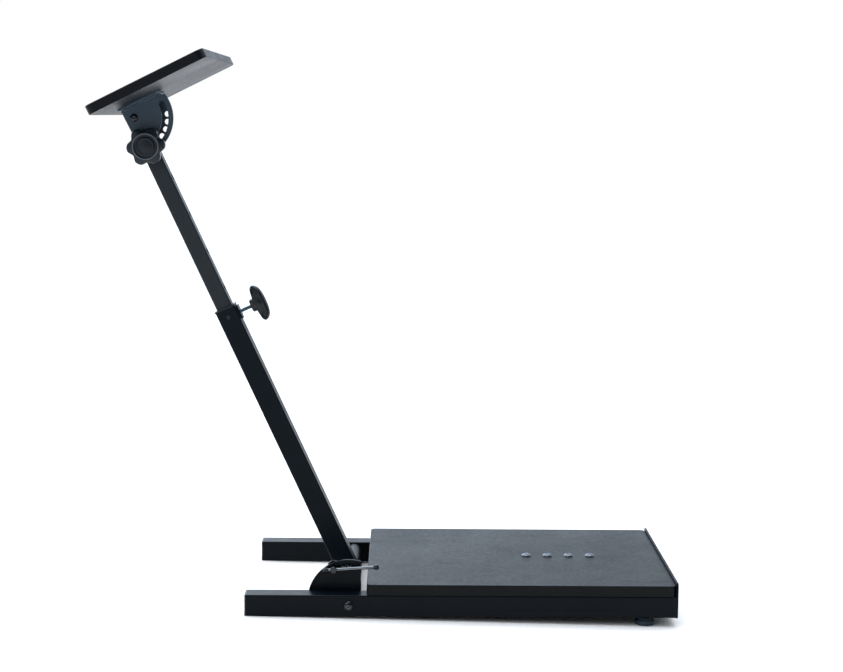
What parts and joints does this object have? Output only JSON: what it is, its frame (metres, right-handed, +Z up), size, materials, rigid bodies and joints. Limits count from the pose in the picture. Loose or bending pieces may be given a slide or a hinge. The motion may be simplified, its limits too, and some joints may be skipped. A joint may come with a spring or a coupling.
{
  "type": "tilting telescopic wheel and pedal stand",
  "caption": "Free-standing floor stand: a flat pedal board with an end stop on twin tube rails, and a leaning telescopic mast carrying a tilting mounting table.",
  "frame": {"origin": "middle of the footprint on the floor, below the stand's overall length and width", "axes": "+X along the rails from the mast towards the end stop, +Y across the stand from the star knob's side to the plain side, +Z up"},
  "size_m": [0.8807, 0.4134, 0.8287],
  "materials": {
    "powder_black": "satin black powder coat",
    "board_black": "fine-textured black laminate",
    "knob_black": "moulded black plastic",
    "zinc": "bright zinc-plated steel",
    "black_screw": "black oxide steel",
    "foot_rubber": "matt black rubber"
  },
  "bodies": {
    "base_frame": {"rail_near": "powder_black", "rail_far": "powder_black", "rail_plugs": "knob_black", "cross_tube_front": "powder_black", "cross_tube_rear": "powder_black", "centre_strap": "powder_black", "strap_nuts": "zinc", "pedal_board": "board_black", "board_screws": "black_screw", "end_stop": "powder_black", "index_quadrant": "powder_black", "pivot_bolts": "black_screw", "pivot_washers": "knob_black", "foot_nuts": "zinc"},
    "foot_near": {"foot_near_pad": "foot_rubber", "foot_near_stud": "zinc"},
    "foot_far": {"foot_far_pad": "foot_rubber", "foot_far_stud": "zinc"},
    "lock_screw_body": {"lock_screw": "black_screw"},
    "tommy_bar_body": {"tommy_bar": "black_screw", "tommy_bar_balls": "black_screw"},
    "mast_lower": {"pivot_tube": "powder_black", "pivot_tube_inserts": "powder_black", "outer_tube": "powder_black", "lock_arm": "powder_black", "lock_arm_nut": "zinc", "guide_sleeve": "knob_black", "clamp_boss": "powder_black"},
    "wing_screw": {"wing_knob": "knob_black", "wing_stud": "zinc"},
    "mast_upper": {"inner_tube": "powder_black", "inner_tube_cap": "knob_black", "inner_tube_glide": "knob_black", "head_pivot_bolt": "black_screw", "head_pivot_nut": "zinc", "head_pivot_spacer": "zinc", "clamp_nut": "zinc"},
    "clamp_knob": {"star_knob": "knob_black", "star_knob_bolt": "zinc", "star_knob_washer": "zinc"},
    "tilt_head": {"bracket_plate": "powder_black", "bracket_cheek_near": "powder_black", "bracket_cheek_far": "powder_black", "wheel_table": "board_black", "table_bolts": "black_screw"}
  },
  "joints": [
    {"name": "mast_fold", "type": "hinge", "parent": "base_frame", "child": "mast_lower", "pos_m": [-0.04997, 0, 0.01943], "axis": [0, 1, 0], "range_deg": [0, 24.95]},
    {"name": "mast_extend", "type": "slide", "parent": "mast_lower", "child": "mast_upper", "axis": [-0.442, 0, 0.897], "range_m": [-0.23075, 0.08175]},
    {"name": "head_tilt", "type": "hinge", "parent": "mast_upper", "child": "tilt_head", "pos_m": [-0.39849, 0, 0.72684], "axis": [0, 1, 0], "range_deg": [0, 72.25]},
    {"name": "clamp_knob_turn", "type": "hinge", "parent": "mast_upper", "child": "clamp_knob", "pos_m": [-0.37733, 0, 0.68465], "axis": [0, 1, 0], "continuous": true},
    {"name": "wing_screw_turn", "type": "hinge", "parent": "mast_lower", "child": "wing_screw", "pos_m": [-0.25017, 0, 0.42579], "axis": [0.897, 0, 0.442], "continuous": true},
    {"name": "lock_screw_turn", "type": "hinge", "parent": "base_frame", "child": "lock_screw_body", "pos_m": [-0.07383, -0.1545, 0.06787], "axis": [0, 1, 0], "range_deg": [-195, 12]},
    {"name": "tommy_bar_slide", "type": "slide", "parent": "lock_screw_body", "child": "tommy_bar_body", "axis": [0.9958, 0, 0.092], "range_m": [-0.053, 0]},
    {"name": "foot_near_adjust", "type": "slide", "parent": "base_frame", "child": "foot_near", "axis": [-0.0223, 0, 0.9998], "range_m": [-0.01, 0.0015]},
    {"name": "foot_far_adjust", "type": "slide", "parent": "base_frame", "child": "foot_far", "axis": [-0.0223, 0, 0.9998], "range_m": [-0.01, 0.0015]}
  ]
}
